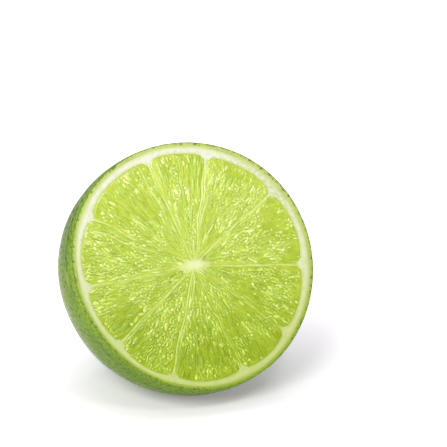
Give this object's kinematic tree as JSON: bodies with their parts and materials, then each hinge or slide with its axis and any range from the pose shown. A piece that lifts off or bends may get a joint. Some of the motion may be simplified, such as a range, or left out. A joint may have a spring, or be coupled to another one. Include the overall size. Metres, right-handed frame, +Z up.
{
  "type": "lime half",
  "caption": "Half a fresh lime, cut across its middle, with its segments showing and its green peel whole. It leans back on a small flat spot of the peel.",
  "frame": {"origin": "centre of the object's box in X and Y, on the surface it rests on, where the flat spot of the peel is", "axes": "+Z up, +X to the right along the cut face, +Y from the cut face towards the far end of the fruit, whose own axis is tipped down behind by the lean of 28.4 degrees"},
  "size_m": [0.0526, 0.0456, 0.0505],
  "materials": {
    "peel": "waxy green skin with fine oil glands",
    "pith": "soft pale pith, membranes and core",
    "pulp": "wet juice sacs, freshly cut"
  },
  "bodies": {
    "root": {"lime_half": "peel"}
  },
  "joints": []
}
